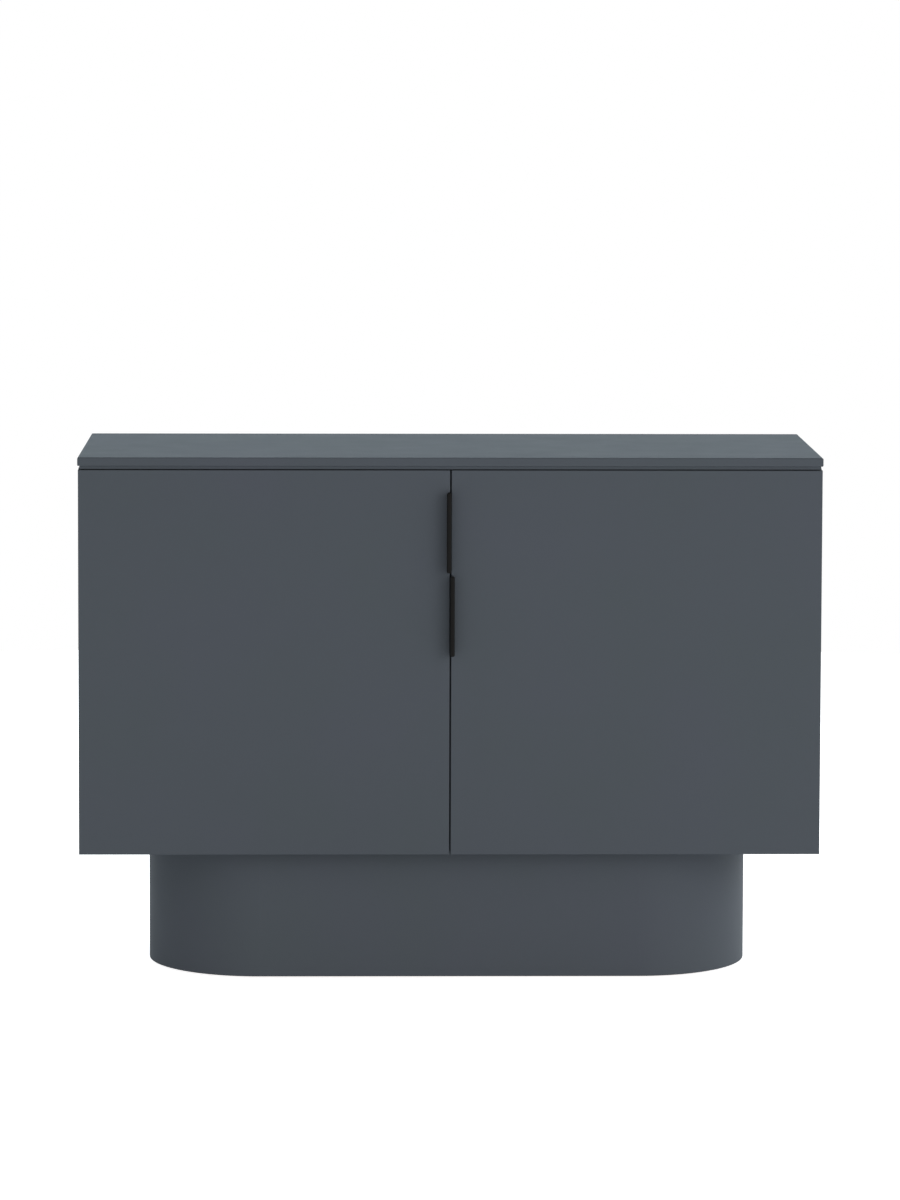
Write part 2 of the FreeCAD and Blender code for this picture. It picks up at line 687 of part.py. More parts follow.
def make_plinth_top_plate(doc):
    body = plinth_body(doc, "plinth_top_plate", "(Dims.plinth_height - Dims.plinth_top)")
    outline = new_sketch(body, "XY_Plane")
    inner_stadium(outline)
    pad(body, outline, "Dims.plinth_top")
    bores(body, "XY_Plane", "Dims.plinth_top", plinth_bolt_places(),
          "Dims.insert_radius + Dims.fit", "Dims.plinth_top")
    return body


def make_plinth_bottom_plate(doc):
    body = plinth_body(doc, "plinth_bottom_plate", "Dims.glide_height")
    outline = new_sketch(body, "XY_Plane")
    inner_stadium(outline)
    pad(body, outline, "Dims.plinth_bottom")
    return body


def make_plinth_ribs(doc):
    """Three cross boards between the plinth's two plates."""
    body = plinth_body(doc, "plinth_ribs", "(Dims.glide_height + Dims.plinth_bottom)")
    half = "(Dims.plinth_width / 2 - Dims.plinth_skin - Dims.plinth_play)"
    outline = new_sketch(body, "XY_Plane")
    for step in (-1, 0, 1):
        middle = f"({step}) * Dims.rib_pitch"
        rectangle(outline, (f"{middle} - Dims.board / 2", below(half)),
                  (f"{middle} + Dims.board / 2", half))
    pad(body, outline, f"({PLINTH_BODY} - Dims.plinth_bottom - Dims.plinth_top)")
    return body


def make_plinth_inserts(doc):
    """Threaded sleeves in the plinth's top plate."""
    body = plinth_body(doc, "plinth_inserts", "Dims.plinth_height")
    places = plinth_bolt_places()
    rods(body, "XY_Plane", "0", places, "Dims.insert_radius", "Dims.insert_length", backwards=True)
    bores(body, "XY_Plane", "0", places, "Dims.bolt_radius + Dims.fit", "Dims.insert_length")
    return body


def make_plinth_bolts(doc):
    """Bolts from inside the cabinet, through the bottom panel and into the plinth."""
    body = plinth_body(doc, "plinth_bolts", INNER_Z)
    places = plinth_bolt_places()
    rods(body, "XY_Plane", "0", places, "Dims.bolt_radius",
         "(Dims.board + Dims.insert_length - Dims.back_play)", backwards=True)
    rods(body, "XY_Plane", "0", places, "Dims.bolt_head_radius", "Dims.bolt_head_height")
    cross_recesses(body, "XY_Plane", "Dims.bolt_head_height", places, "Dims.bolt_radius")
    return body


def make_plinth_glides(doc):
    """Eight felt pads that lift the plinth's edge clear of the floor."""
    body = plinth_body(doc, "plinth_glides", "0")
    inner = [(f"({i}) * Dims.glide_pitch_x", f"({j}) * Dims.glide_pitch_y")
             for i in (-0.5, 0.5) for j in (-0.5, 0.5)]
    outer = [(f"({i}) * Dims.glide_pitch_x", f"({j}) * Dims.glide_pitch_y")
             for i in (-1.75, 1.75) for j in (-0.4, 0.4)]
    rods(body, "XY_Plane", "0", inner + outer, "Dims.glide_radius", "Dims.glide_height")
    return body


# ---------------------------------------------------------------- doors and handles

def handle_base(side):
    return "Dims.handle_left_base" if side == LEFT else "Dims.handle_right_base"


def make_door(doc, name, side):
    """A door, with its hinge edge on x = 0 and its front face on y = 0."""
    back = "Dims.door_thickness"
    body = board(doc, f"door_{name}", (DOOR_WIDTH, back, DOOR_HEIGHT),
                 (mirrored(side, below(CARCASS_HALF)), FRONT_Y, DOOR_Z), side)
    fillet(body, "Dims.door_edge_radius", lambda box: near(box.YMax, 0))

    low = f"({handle_base(side)} - {DOOR_Z})"
    high = f"({low} + Dims.handle_length)"
    free_edge = mirrored(side, DOOR_WIDTH)
    web_face = mirrored(side, f"{DOOR_WIDTH} - Dims.handle_sheet")
    web_seat = new_sketch(body, "XZ_Plane")
    rectangle(web_seat, (web_face, low), (free_edge, high))
    pocket(body, web_seat, back)
    leg_face = mirrored(side, f"{DOOR_WIDTH} - Dims.handle_leg")
    leg_seat = new_sketch(body, "XZ_Plane", below(back))
    rectangle(leg_seat, (leg_face, low), (free_edge, high))
    pocket(body, leg_seat, "Dims.handle_sheet", along_normal=True)

    hinges = [f"Dims.hinge_end + {level}" for level in ("0", HINGE_PITCH)]
    cups = [(mirrored(side, "Dims.cup_centre"), z) for z in hinges]
    bores(body, "XZ_Plane", below(back), cups, "Dims.cup_radius", "Dims.cup_depth",
          along_normal=True)
    cup_screws = [(mirrored(side, "Dims.cup_screw_line"), f"{z} + ({step}) * Dims.cup_screw_pitch")
                  for z in hinges for step in (-0.5, 0.5)]
    handle_screws = [(x, f"{low} + {z}") for x, z in handle_screw_places(side, DOOR_WIDTH)]
    bores(body, "XZ_Plane", below(back), cup_screws + handle_screws,
          "Dims.screw_radius + Dims.fit", "Dims.screw_length", along_normal=True)
    return body


def handle_screw_places(side, edge):
    x = mirrored(side, f"{edge} - Dims.handle_leg / 2 - Dims.handle_sheet")
    return [(x, "Dims.handle_screw_end"), (x, "Dims.handle_length - Dims.handle_screw_end")]


def door_edge_x():
    return below("Dims.door_centre_gap / 2")


def make_handle(doc, name, side):
    """One aluminium section: leg on the door's back, web round its edge, lip in front."""
    body = new_body(doc, f"handle_{name}", ("0", FRONT_Y, handle_base(side)))
    edge = door_edge_x()
    web = f"({edge} - Dims.handle_sheet)"
    lip_back = below("Dims.handle_lip_back")
    front = below("Dims.handle_reach")
    lip_rear = below("Dims.handle_reach - Dims.handle_lip_thickness")
    leg_front = "Dims.door_thickness - Dims.handle_sheet"
    leg_end = f"({edge} - Dims.handle_leg)"
    section = [(lip_back, front), ("Dims.handle_lip_over", front),
               ("Dims.handle_lip_over", lip_rear), (edge, lip_rear),
               (edge, "Dims.door_thickness"), (leg_end, "Dims.door_thickness"),
               (leg_end, leg_front), (web, leg_front), (web, lip_rear), (lip_back, lip_rear)]
    profile = new_sketch(body, "XY_Plane")
    polygon(profile, [(mirrored(side, x), y) for x, y in section])
    pad(body, profile, "Dims.handle_length")

    screws = handle_screw_places(side, edge)
    bores(body, "XZ_Plane", below("Dims.door_thickness"), screws, "Dims.screw_radius + Dims.fit",
          "Dims.handle_sheet", along_normal=True)
    bores(body, "XZ_Plane", below("Dims.door_thickness"), screws,
          "Dims.screw_head_radius + Dims.fit", HEAD, along_normal=True)

    reach = value(body, front)
    rear = value(body, lip_rear)
    outer = [value(body, mirrored(side, x)) for x in (lip_back, "Dims.handle_lip_over")]
    fillet(body, "Dims.handle_corner_radius",
           lambda box: near(box.YMin, reach) and near(box.YMax, rear)
           and any(near(box.XMin, x) and near(box.XMax, x) for x in outer))
    fillet(body, "Dims.handle_lip_radius", lambda box: near(box.YMax, reach))
    return body


def make_handle_screws(doc, name, side):
    body = new_body(doc, f"handle_screws_{name}", ("0", DOOR_BACK_Y, handle_base(side)))
    places = handle_screw_places(side, door_edge_x())
    rods(body, "XZ_Plane", "0", places, "Dims.screw_radius", "Dims.screw_length")
    rods(body, "XZ_Plane", "0", places, "Dims.screw_head_radius", HEAD)
    cross_recesses(body, "XZ_Plane", "0", places, "Dims.screw_radius", along_normal=True)
    return body


def make_door_bumpers(doc, name, side):
    """Clear pads on the door's back, facing the partition."""
    body = new_body(doc, f"door_bumpers_{name}", ("0", DOOR_BACK_Y, DOOR_Z))
    x = mirrored(side, below("Dims.door_centre_gap / 2 + Dims.bumper_radius + Dims.back_play"))
    places = [(x, "Dims.bumper_end"), (x, f"{DOOR_HEIGHT} - Dims.bumper_end")]
    rods(body, "XZ_Plane", "0", places, "Dims.bumper_radius", "Dims.bumper_thickness",
         backwards=True)
    return body


# ---------------------------------------------------------------- concealed hinges
# Every hinge part is drawn about the lower hinge: x from the side's outer face inwards,
# y backwards from the carcass's front edge, z about the hinge's middle.

def hinge_body(doc, label, side):
    return new_body(doc, label, (mirrored(side, below(CARCASS_HALF)), CARCASS_FRONT_Y, HINGE_Z))


def arm_pivot(side):
    return [(mirrored(side, "Dims.arm_pivot_x"), below("Dims.arm_pivot_y"))]


def cup_pivot(side):
    return [(mirrored(side, "Dims.cup_pivot_x"), below("Dims.cup_pivot_y"))]


def across(body, role, outline, half_width, cut=False):
    """Pads or cuts an outline evenly to both sides of a plane."""
    sketch = new_sketch(body, role)
    outline(sketch)
    feature = pocket if cut else pad
    feature(body, sketch, f"2 * ({half_width})", both_ways=True)


def make_hinge_plates(doc, name, side):
    body = hinge_body(doc, f"hinge_plates_{name}", side)
    inner = mirrored(side, "Dims.board")
    top = mirrored(side, "Dims.board + Dims.plate_thickness")
    line = "Dims.system_line"

    def base(sketch):
        rectangle(sketch, (inner, f"{line} - Dims.plate_width / 2"),
                  (top, f"{line} + Dims.plate_width / 2"))

    def rail(sketch):
        rectangle(sketch, (inner, "Dims.rail_front"), (mirrored(side, "Dims.rail_top"), "Dims.rail_rear"))

    across(body, "XY_Plane", base, "Dims.plate_half_length")
    across(body, "XY_Plane", rail, "Dims.rail_half_width")
    screws = [(line, f"({step}) * Dims.plate_screw_pitch") for step in (-0.5, 0.5)]
    bores(body, "YZ_Plane", top, screws, "Dims.screw_radius + Dims.fit", "Dims.plate_thickness",
          along_normal=side == RIGHT)
    bores(body, "YZ_Plane", top, screws, "Dims.screw_head_radius + Dims.fit", HEAD,
          along_normal=side == RIGHT)
    bores(body, "YZ_Plane", mirrored(side, "Dims.rail_top"),
          [("Dims.arm_screw_front", "0"), ("Dims.arm_screw_rear", "0")],
          "Dims.screw_radius + Dims.fit", "Dims.rail_top - Dims.board", along_normal=side == RIGHT)
    half_length = value(body, "Dims.plate_half_length")
    fillet(body, "Dims.flange_corner_radius",
           lambda box: near(abs(box.ZMin), half_length) and near(box.ZMin, box.ZMax)
           and near(box.YMin, box.YMax))
    repeat_upwards(body, HINGE_PITCH)
    return body


def make_plate_screws(doc):
    body = new_body(doc, "plate_screws", ("0", CARCASS_FRONT_Y, HINGE_Z))
    places = [("Dims.system_line", f"({step}) * Dims.plate_screw_pitch") for step in (-0.5, 0.5)]
    for side in (LEFT, RIGHT):
        face = mirrored(side, below(f"{INNER_HALF} - Dims.plate_thickness"))
        outwards = {"backwards": side == LEFT}
        rods(body, "YZ_Plane", face, places, "Dims.screw_radius", "Dims.screw_length", **outwards)
        rods(body, "YZ_Plane", face, places, "Dims.screw_head_radius", HEAD, **outwards)
        cross_recesses(body, "YZ_Plane", face, places, "Dims.screw_radius",
                       along_normal=side == RIGHT)
    repeat_upwards(body, HINGE_PITCH)
    return body


def make_hinge_arms(doc, name, side):
    """Folded steel arms: two cheeks and a web, with a nose that reaches into the cup."""
    body = hinge_body(doc, f"hinge_arms_{name}", side)
    pivot = below("Dims.arm_pivot_y")
    low, high = "Dims.arm_low", "Dims.arm_high"
    nose_low, nose_high = "Dims.arm_nose_low", "Dims.arm_nose_high"
    sheet = "Dims.arm_sheet"
    tip = below("Dims.arm_pivot_y + Dims.arm_nose")

    def outline(sketch):
        corners = [(low, "Dims.arm_length"), (high, "Dims.arm_length"), (high, "4 * Dims.arm_nose"),
                   (nose_high, "Dims.arm_nose"), (nose_high, tip), (nose_low, tip),
                   (nose_low, "0"), ("Dims.arm_low + Dims.plate_thickness", "Dims.arm_nose"),
                   (low, "2 * Dims.arm_nose")]
        polygon(sketch, [(mirrored(side, x), y) for x, y in corners])

    def hollow(sketch):
        corners = [("Dims.board", "Dims.arm_length + Dims.arm_nose"),
                   (f"{high} - {sheet}", "Dims.arm_length + Dims.arm_nose"),
                   (f"{high} - {sheet}", "4 * Dims.arm_nose"),
                   (f"{nose_high} - {sheet}", "Dims.arm_nose"),
                   (f"{nose_high} - {sheet}", "0"),
                   (f"{nose_high} + {sheet}", "0"),
                   (f"{nose_high} + {sheet}", below("Dims.arm_pivot_y + 2 * Dims.arm_nose")),
                   ("Dims.board", below("Dims.arm_pivot_y + 2 * Dims.arm_nose"))]
        polygon(sketch, [(mirrored(side, x), y) for x, y in corners])

    across(body, "XY_Plane", outline, "Dims.arm_half_width")
    front = value(body, tip)
    fillet(body, "Dims.arm_nose - Dims.fit",
           lambda box: near(box.YMin, front) and near(box.YMax, front) and near(box.XMin, box.XMax))
    across(body, "XY_Plane", hollow, f"Dims.arm_half_width - {sheet}", cut=True)
    bores(body, "XY_Plane", "0", arm_pivot(side), "Dims.pin_radius + Dims.pin_press",
          "4 * Dims.arm_half_width", both_ways=True)
    bores(body, "YZ_Plane", mirrored(side, high),
          [("Dims.arm_screw_front", "0"), ("Dims.arm_screw_rear", "0")],
          "Dims.screw_radius + Dims.fit", sheet, along_normal=side == RIGHT)
    repeat_upwards(body, HINGE_PITCH)
    return body


def make_arm_screws(doc):
    """Fixing and adjusting screws through the arms into the plates' rails."""
    body = new_body(doc, "arm_screws", ("0", CARCASS_FRONT_Y, HINGE_Z))
    places = [("Dims.arm_screw_front", "0"), ("Dims.arm_screw_rear", "0")]
    for side in (LEFT, RIGHT):
        face = mirrored(side, below(f"{CARCASS_HALF} - Dims.arm_high"))
        head = mirrored(side, below(f"{CARCASS_HALF} - Dims.arm_high - {HEAD}"))
        rods(body, "YZ_Plane", face, places, "Dims.screw_radius", "Dims.screw_length",
             backwards=side == LEFT)
        rods(body, "YZ_Plane", face, places, "Dims.screw_head_radius", HEAD,
             backwards=side == RIGHT)
        cross_recesses(body, "YZ_Plane", head, places, "Dims.screw_radius",
                       along_normal=side == RIGHT)
    repeat_upwards(body, HINGE_PITCH)
    return body


def make_hinge_arm_pins(doc, name, side):
    body = hinge_body(doc, f"hinge_arm_pins_{name}", side)
    rods(body, "XY_Plane", "0", arm_pivot(side), "Dims.pin_radius", "2 * Dims.arm_half_width",
         both_ways=True)
    repeat_upwards(body, HINGE_PITCH)
    return body


def make_hinge_cup_pins(doc, name, side):
    body = hinge_body(doc, f"hinge_cup_pins_{name}", side)
    rods(body, "XY_Plane", "0", cup_pivot(side), "Dims.pin_radius", "2 * Dims.cup_pin_half",
         both_ways=True)
    repeat_upwards(body, HINGE_PITCH)
    return body


def make_hinge_levers(doc, name, side):
    """Cranked levers: a knuckle on each pin and a bowed strip that clears the cup's rim."""
    body = hinge_body(doc, f"hinge_levers_{name}", side)
    width = "2 * Dims.lever_half_width"
    for pivot in (arm_pivot(side), cup_pivot(side)):
        rods(body, "XY_Plane", "0", pivot, "Dims.lever_knuckle", width, both_ways=True)

    crown = (mirrored(side, "Dims.lever_crown_x"), below("Dims.lever_crown_y"))
    spine = [cup_pivot(side)[0], crown, arm_pivot(side)[0]][::side]
    half = "Dims.lever_sheet / 2"

    def strip(sketch):
        outer = [(x, f"{y} - {half}") for x, y in spine]
        inner = [(x, f"{y} + {half}") for x, y in spine]
        arc(sketch, *outer)
        arc(sketch, *inner)
        line(sketch, outer[0], inner[0])
        line(sketch, outer[2], inner[2])

    across(body, "XY_Plane", strip, "Dims.lever_half_width")
    bores(body, "XY_Plane", "0", arm_pivot(side) + cup_pivot(side),
          "Dims.pin_radius + Dims.pin_play", width, both_ways=True)
    repeat_upwards(body, HINGE_PITCH)
    return body


def make_hinge_cups(doc, name, side):
    """Cups in the doors: a round pot with a screw flange on the door's back."""
    body = hinge_body(doc, f"hinge_cups_{name}", side)
    centre = [(mirrored(side, "Dims.cup_centre"), "0")]
    door_back = "Dims.door_back_gap"
    rods(body, "XZ_Plane", door_back, centre, "Dims.cup_radius - Dims.fit", "Dims.cup_depth")
    flange = new_sketch(body, "XZ_Plane", door_back)
    rectangle(flange, (mirrored(side, "Dims.flange_start"), below("Dims.flange_half_length")),
              (mirrored(side, "Dims.flange_end"), "Dims.flange_half_length"))
    pad(body, flange, "Dims.flange_thickness", backwards=True)
    half = value(body, "Dims.flange_half_length")
    fillet(body, "Dims.flange_corner_radius",
           lambda box: near(abs(box.ZMin), half) and near(box.ZMin, box.ZMax)
           and near(box.XMin, box.XMax))
    bores(body, "XZ_Plane", f"{door_back} - Dims.flange_thickness", centre,
          "Dims.cup_radius - Dims.cup_wall",
          "Dims.cup_depth + Dims.flange_thickness - Dims.cup_floor", along_normal=True)
    bores(body, "XY_Plane", "0", cup_pivot(side), "Dims.pin_radius + Dims.pin_press",
          "2 * Dims.cup_pin_half", both_ways=True)
    screws = cup_screw_places(side)
    bores(body, "XZ_Plane", door_back, screws, "Dims.screw_radius + Dims.fit",
          "Dims.flange_thickness")
    repeat_upwards(body, HINGE_PITCH)
    return body


def cup_screw_places(side):
    x = mirrored(side, "Dims.cup_screw_line")
    return [(x, f"({step}) * Dims.cup_screw_pitch") for step in (-0.5, 0.5)]


def make_cup_screws(doc, name, side):
    body = hinge_body(doc, f"cup_screws_{name}", side)
    places = cup_screw_places(side)
    face = "(Dims.door_back_gap - Dims.flange_thickness)"
    rods(body, "XZ_Plane", face, places, "Dims.screw_radius", "Dims.screw_length")
    rods(body, "XZ_Plane", face, places, "Dims.screw_head_radius", "Dims.recess_depth",
         backwards=True)
    cross_recesses(body, "XZ_Plane", "Dims.door_back_gap - Dims.flange_thickness - Dims.recess_depth",
                   places, "Dims.screw_radius", along_normal=True)
    repeat_upwards(body, HINGE_PITCH)
    return body


# ---------------------------------------------------------------- assembly

def make_parts(doc):
    parts = [make_top_board(doc), make_bottom_panel(doc), make_partition(doc)]
    parts += [make_shelf_pins(doc), make_dowels(doc), make_cam_locks(doc), make_cam_bolts(doc)]
    parts += [make_partition_screws(doc), make_plate_screws(doc), make_arm_screws(doc)]
    for make in (make_plinth_shell, make_plinth_top_plate, make_plinth_bottom_plate,
                 make_plinth_ribs, make_plinth_inserts, make_plinth_bolts, make_plinth_glides):
        parts.append(make(doc))
    for make in (make_side_panel, make_back_panel, make_shelf, make_door, make_handle,
                 make_handle_screws, make_door_bumpers, make_hinge_plates, make_hinge_arms,
                 make_hinge_arm_pins, make_hinge_levers, make_hinge_cup_pins, make_hinge_cups,
                 make_cup_screws):
        for name, side in SIDES:
            parts.append(make(doc, name, side))
    return parts


def check(doc, parts):
    for item in doc.Objects:
        if "Invalid" in item.State or "Error" in item.State:
            raise RuntimeError(f"{item.Label} failed: {item.State}")
    for part in parts:
        if part.Shape.isNull() or not part.Shape.isValid():
            raise RuntimeError(f"{part.Label} has no valid shape")


def write(parts):
    os.makedirs("parts", exist_ok=True)
    for part in parts:
        part.Shape.exportStep(f"parts/{part.Label}.step")


document = make_document()
pieces = make_parts(document)
document.recompute()
check(document, pieces)
write(pieces)
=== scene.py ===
"""Looks of a two-door sideboard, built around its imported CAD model. Metres throughout."""

import json
import math

import bmesh
import bpy
from mathutils import Matrix, Vector, noise


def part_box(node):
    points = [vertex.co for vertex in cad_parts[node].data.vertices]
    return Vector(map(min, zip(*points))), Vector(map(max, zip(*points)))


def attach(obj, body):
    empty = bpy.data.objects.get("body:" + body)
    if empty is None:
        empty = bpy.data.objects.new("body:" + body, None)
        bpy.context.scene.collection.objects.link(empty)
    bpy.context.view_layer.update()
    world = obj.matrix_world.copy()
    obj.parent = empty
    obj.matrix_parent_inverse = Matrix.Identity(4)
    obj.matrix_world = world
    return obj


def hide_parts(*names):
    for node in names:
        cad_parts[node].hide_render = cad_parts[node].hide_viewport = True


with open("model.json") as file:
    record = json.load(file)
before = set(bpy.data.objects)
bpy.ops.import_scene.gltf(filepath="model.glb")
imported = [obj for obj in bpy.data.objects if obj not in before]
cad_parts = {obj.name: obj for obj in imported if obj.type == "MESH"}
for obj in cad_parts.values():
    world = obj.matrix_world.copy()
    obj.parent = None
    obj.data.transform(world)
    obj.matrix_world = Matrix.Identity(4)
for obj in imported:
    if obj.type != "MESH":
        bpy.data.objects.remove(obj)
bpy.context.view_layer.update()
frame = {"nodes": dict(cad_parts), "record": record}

SIDES = ("left", "right")
MM = 0.001

PAD_RADIUS = 14 * MM
PAD_COLUMNS = 4
PAD_ROWS = 2
PAD_UNEVEN = 0.35 * MM
PAD_BLOTCHES_PER_METRE = 700
PAD_SPOKES = 64

WELD_DISTANCE = 0.002 * MM
SHARP_ANGLE = 40
HANDLE_SOFTNESS = 0.3 * MM
HINGE_SOFTNESS = 0.15 * MM
HINGE_PARTS = ("hinge_plates", "hinge_arms", "hinge_levers", "hinge_cups")


# ---------------------------------------------------------------- node helpers

def new_material(name):
    """An empty node tree with one Principled shader."""
    material = bpy.data.materials.new(name)
    material.use_nodes = True
    tree = material.node_tree
    tree.nodes.clear()
    output = tree.nodes.new("ShaderNodeOutputMaterial")
    shader = tree.nodes.new("ShaderNodeBsdfPrincipled")
    tree.links.new(shader.outputs["BSDF"], output.inputs["Surface"])
    return material, tree, shader


def places(tree, stretch=(1, 1, 1)):
    """Object coordinates in metres, scaled on each axis."""
    coordinates = tree.nodes.new("ShaderNodeTexCoord")
    mapping = tree.nodes.new("ShaderNodeMapping")
    mapping.inputs["Scale"].default_value = stretch
    tree.links.new(coordinates.outputs["Object"], mapping.inputs["Vector"])
    return mapping.outputs["Vector"]


def noise_of(tree, vector, size, detail=2.0, roughness=0.5):
    """Noise whose blotches are about size metres across."""
    node = tree.nodes.new("ShaderNodeTexNoise")
    node.inputs["Scale"].default_value = 1 / size
    node.inputs["Detail"].default_value = detail
    node.inputs["Roughness"].default_value = roughness
    tree.links.new(vector, node.inputs["Vector"])
    return node.outputs["Fac"]


def cells_of(tree, vector, size):
    """Distance to the middle of cells about size metres across."""
    node = tree.nodes.new("ShaderNodeTexVoronoi")
    node.inputs["Scale"].default_value = 1 / size
    tree.links.new(vector, node.inputs["Vector"])
    return node.outputs["Distance"]


def remap(tree, factor, low, high, start=0.3, end=0.7):
    """The factor's stretch from start to end becomes low to high."""
    node = tree.nodes.new("ShaderNodeMapRange")
    node.inputs["From Min"].default_value = start
    node.inputs["From Max"].default_value = end
    node.inputs["To Min"].default_value = low
    node.inputs["To Max"].default_value = high
    tree.links.new(factor, node.inputs["Value"])
    return node.outputs["Result"]


def between(tree, factor, first, second):
    """A colour between two colours or colour outputs."""
    node = tree.nodes.new("ShaderNodeMix")
    node.data_type = "RGBA"
    tree.links.new(factor, node.inputs["Factor"])
    for socket, colour in ((node.inputs[6], first), (node.inputs[7], second)):
        if isinstance(colour, tuple):
            socket.default_value = (*colour, 1)
        else:
            tree.links.new(colour, socket)
    return node.outputs[2]


def maths(tree, operation, first, second):
    """A math node on two numbers or outputs."""
    node = tree.nodes.new("ShaderNodeMath")
    node.operation = operation
    for socket, value in zip(node.inputs, (first, second)):
        if isinstance(value, (int, float)):
            socket.default_value = value
        else:
            tree.links.new(value, socket)
    return node.outputs["Value"]


def bump(tree, height, depth, under=None):
    """A normal from a height of 0 to 1 that stands for depth metres, on top of another bump."""
    node = tree.nodes.new("ShaderNodeBump")
    node.inputs["Strength"].default_value = 1.0
    node.inputs["Distance"].default_value = depth
    tree.links.new(height, node.inputs["Height"])
    if under is not None:
        tree.links.new(under, node.inputs["Normal"])
    return node.outputs["Normal"]


def shaded(colour, amount):
    """A colour made lighter or darker."""
    return tuple(channel * amount for channel in colour)


def vary_colour(tree, shader, factor, colour, spread):
    """Lightens and darkens a colour by the spread, following the factor."""
    mixed = between(tree, factor, shaded(colour, 1 - spread), shaded(colour, 1 + spread))
    tree.links.new(mixed, shader.inputs["Base Color"])


# ---------------------------------------------------------------- materials

LACQUER_GREENER = (0.0672, 0.0778, 0.0882)
LACQUER_BLUER = (0.0692, 0.0774, 0.092)
LACQUER_SPECK = (0.1, 0.115, 0.13)


def lacquer(name):
    """Matt sprayed lacquer on MDF: faint orange peel, slightly uneven gloss and tone."""
    material, tree, shader = new_material(name)
    where = places(tree)
    clouds = noise_of(tree, where, 0.22, 3)
    tone = between(tree, remap(tree, clouds, 0, 1), LACQUER_GREENER, LACQUER_BLUER)
    pigment = noise_of(tree, where, 0.9 * MM, 3, 0.7)
    speckled = between(tree, remap(tree, pigment, 0, 0.12, 0.55, 0.8), tone, LACQUER_SPECK)
    tree.links.new(speckled, shader.inputs["Base Color"])
    handling = noise_of(tree, where, 0.06, 4, 0.6)
    tree.links.new(remap(tree, handling, 0.59, 0.64), shader.inputs["Roughness"])
    peel = noise_of(tree, where, 2.4 * MM, 1)
    grain = noise_of(tree, where, 0.35 * MM, 2)
    fine = bump(tree, grain, 0.006 * MM)
    tree.links.new(bump(tree, peel, 0.02 * MM, fine), shader.inputs["Normal"])
    shader.inputs["Specular IOR Level"].default_value = 0.05
    return material


def painted_hardboard(name):
    """Thin painted hardboard with the faint screen print of its press."""
    material, tree, shader = new_material(name)
    where = places(tree)
    clouds = noise_of(tree, where, 0.2, 4)
    vary_colour(tree, shader, remap(tree, clouds, 0, 1), (0.055, 0.062, 0.072), 0.05)
    fibres = noise_of(tree, places(tree, (1, 1, 2.5)), 0.9 * MM, 3, 0.65)
    tree.links.new(remap(tree, fibres, 0.5, 0.62), shader.inputs["Roughness"])
    screen = cells_of(tree, where, 1.1 * MM)
    rough = bump(tree, fibres, 0.03 * MM)
    tree.links.new(bump(tree, screen, 0.02 * MM, rough), shader.inputs["Normal"])
    shader.inputs["Specular IOR Level"].default_value = 0.3
    return material


def raw_fibreboard(name):
    """Unpainted MDF: fine brown fibres and darker specks."""
    material, tree, shader = new_material(name)
    where = places(tree)
    fibres = noise_of(tree, places(tree, (1, 1, 3)), 0.7 * MM, 4, 0.7)
    specks = cells_of(tree, where, 1.6 * MM)
    base = between(tree, remap(tree, fibres, 0, 1), (0.33, 0.235, 0.145), (0.47, 0.36, 0.24))
    spotted = between(tree, remap(tree, specks, 0.35, 0, 0.05, 0.3), base, (0.2, 0.13, 0.075))
    tree.links.new(spotted, shader.inputs["Base Color"])
    tree.links.new(remap(tree, fibres, 0.75, 0.9), shader.inputs["Roughness"])
    tree.links.new(bump(tree, fibres, 0.08 * MM), shader.inputs["Normal"])
    shader.inputs["Specular IOR Level"].default_value = 0.25
    return material


def beech(name):
    """Pale beech with fine grain and short darker rays along the dowels."""
    material, tree, shader = new_material(name)
    grain = noise_of(tree, places(tree, (0.25, 1, 1)), 1.2 * MM, 4, 0.6)
    rays = noise_of(tree, places(tree, (0.4, 1, 1)), 0.5 * MM, 1)
    base = between(tree, remap(tree, grain, 0, 1), (0.53, 0.35, 0.2), (0.7, 0.52, 0.33))
    marked = between(tree, remap(tree, rays, 0, 0.5, 0.6, 0.7), base, (0.36, 0.2, 0.1))
    tree.links.new(marked, shader.inputs["Base Color"])
    tree.links.new(remap(tree, grain, 0.55, 0.72), shader.inputs["Roughness"])
    tree.links.new(bump(tree, grain, 0.05 * MM), shader.inputs["Normal"])
    return material


def felt(name):
    """Pressed wool felt: matted fibres, lighter fluff and a soft sheen."""
    material, tree, shader = new_material(name)
    where = places(tree)
    mat = noise_of(tree, where, 0.8 * MM, 5, 0.75)
    fluff = noise_of(tree, places(tree, (1, 3, 1)), 0.3 * MM, 3, 0.7)
    base = between(tree, remap(tree, mat, 0, 1), (0.02, 0.02, 0.022), (0.05, 0.05, 0.054))
    light = between(tree, remap(tree, fluff, 0, 0.6, 0.6, 0.75), base, (0.12, 0.12, 0.125))
    tree.links.new(light, shader.inputs["Base Color"])
    tree.links.new(remap(tree, mat, 0.88, 1.0), shader.inputs["Roughness"])
    tree.links.new(bump(tree, fluff, 0.12 * MM, bump(tree, mat, 0.25 * MM)), shader.inputs["Normal"])
    shader.inputs["Sheen Weight"].default_value = 0.35
    shader.inputs["Sheen Roughness"].default_value = 0.5
    shader.inputs["Specular IOR Level"].default_value = 0.15
    return material


